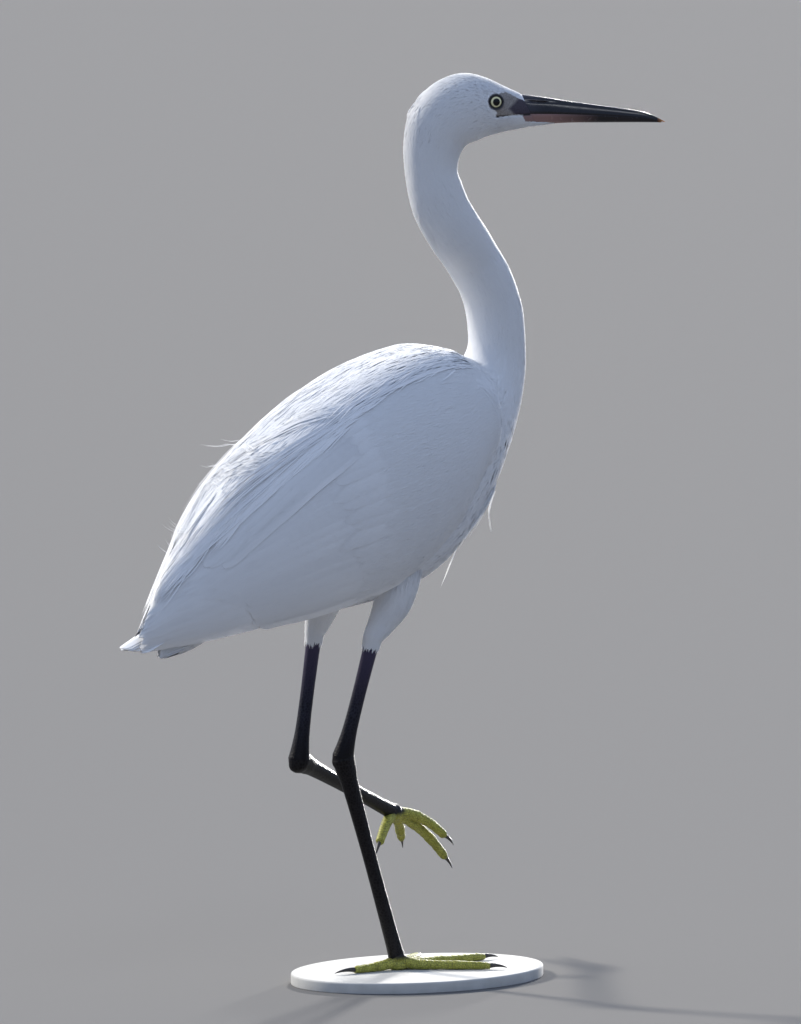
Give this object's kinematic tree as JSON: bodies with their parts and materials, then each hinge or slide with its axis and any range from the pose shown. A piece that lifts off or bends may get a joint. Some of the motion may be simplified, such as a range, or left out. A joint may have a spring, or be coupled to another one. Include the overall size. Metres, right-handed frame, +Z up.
{
  "type": "little egret",
  "caption": "Life-size white wading bird on a low oval base, standing on one foot with the other leg raised, folded wings, long dagger bill and slender plumes.",
  "frame": {"origin": "on the underside of the base, below the pad of the standing right foot", "axes": "+X the way the body heads, +Y the bird's left, +Z up"},
  "size_m": [0.3176, 0.1872, 0.4917],
  "materials": {
    "base_paint": "plain painted wood, matt",
    "plumage": "soft white feathers with a faint sheen",
    "eye": "clear wet eye with a pale yellow iris and black pupil",
    "bill": "smooth black horn, pinkish grey at the base of the lower mandible",
    "leg_skin": "black skin with fine net-like scales",
    "foot_skin": "yellow-green skin with scutes",
    "claw": "dark polished horn"
  },
  "bodies": {
    "root": {"torso": "plumage", "neck_lower": "plumage", "neck_middle": "plumage", "neck_upper": "plumage", "head": "plumage", "eye_right": "eye", "eye_left": "eye", "bill_upper": "bill", "bill_lower": "bill", "tail": "plumage", "wing_right": "plumage", "thigh_right": "plumage", "shank_right": "leg_skin", "tarsus_right": "leg_skin", "foot_right": "foot_skin", "claw_right_outer": "claw", "claw_right_middle": "claw", "claw_right_inner": "claw", "claw_right_hind": "claw", "wing_left": "plumage", "thigh_left": "plumage", "shank_left": "leg_skin", "tarsus_left": "leg_skin", "foot_left": "foot_skin", "claw_left_outer": "claw", "claw_left_middle": "claw", "claw_left_inner": "claw", "claw_left_hind": "claw", "stand_base": "base_paint"}
  },
  "joints": []
}
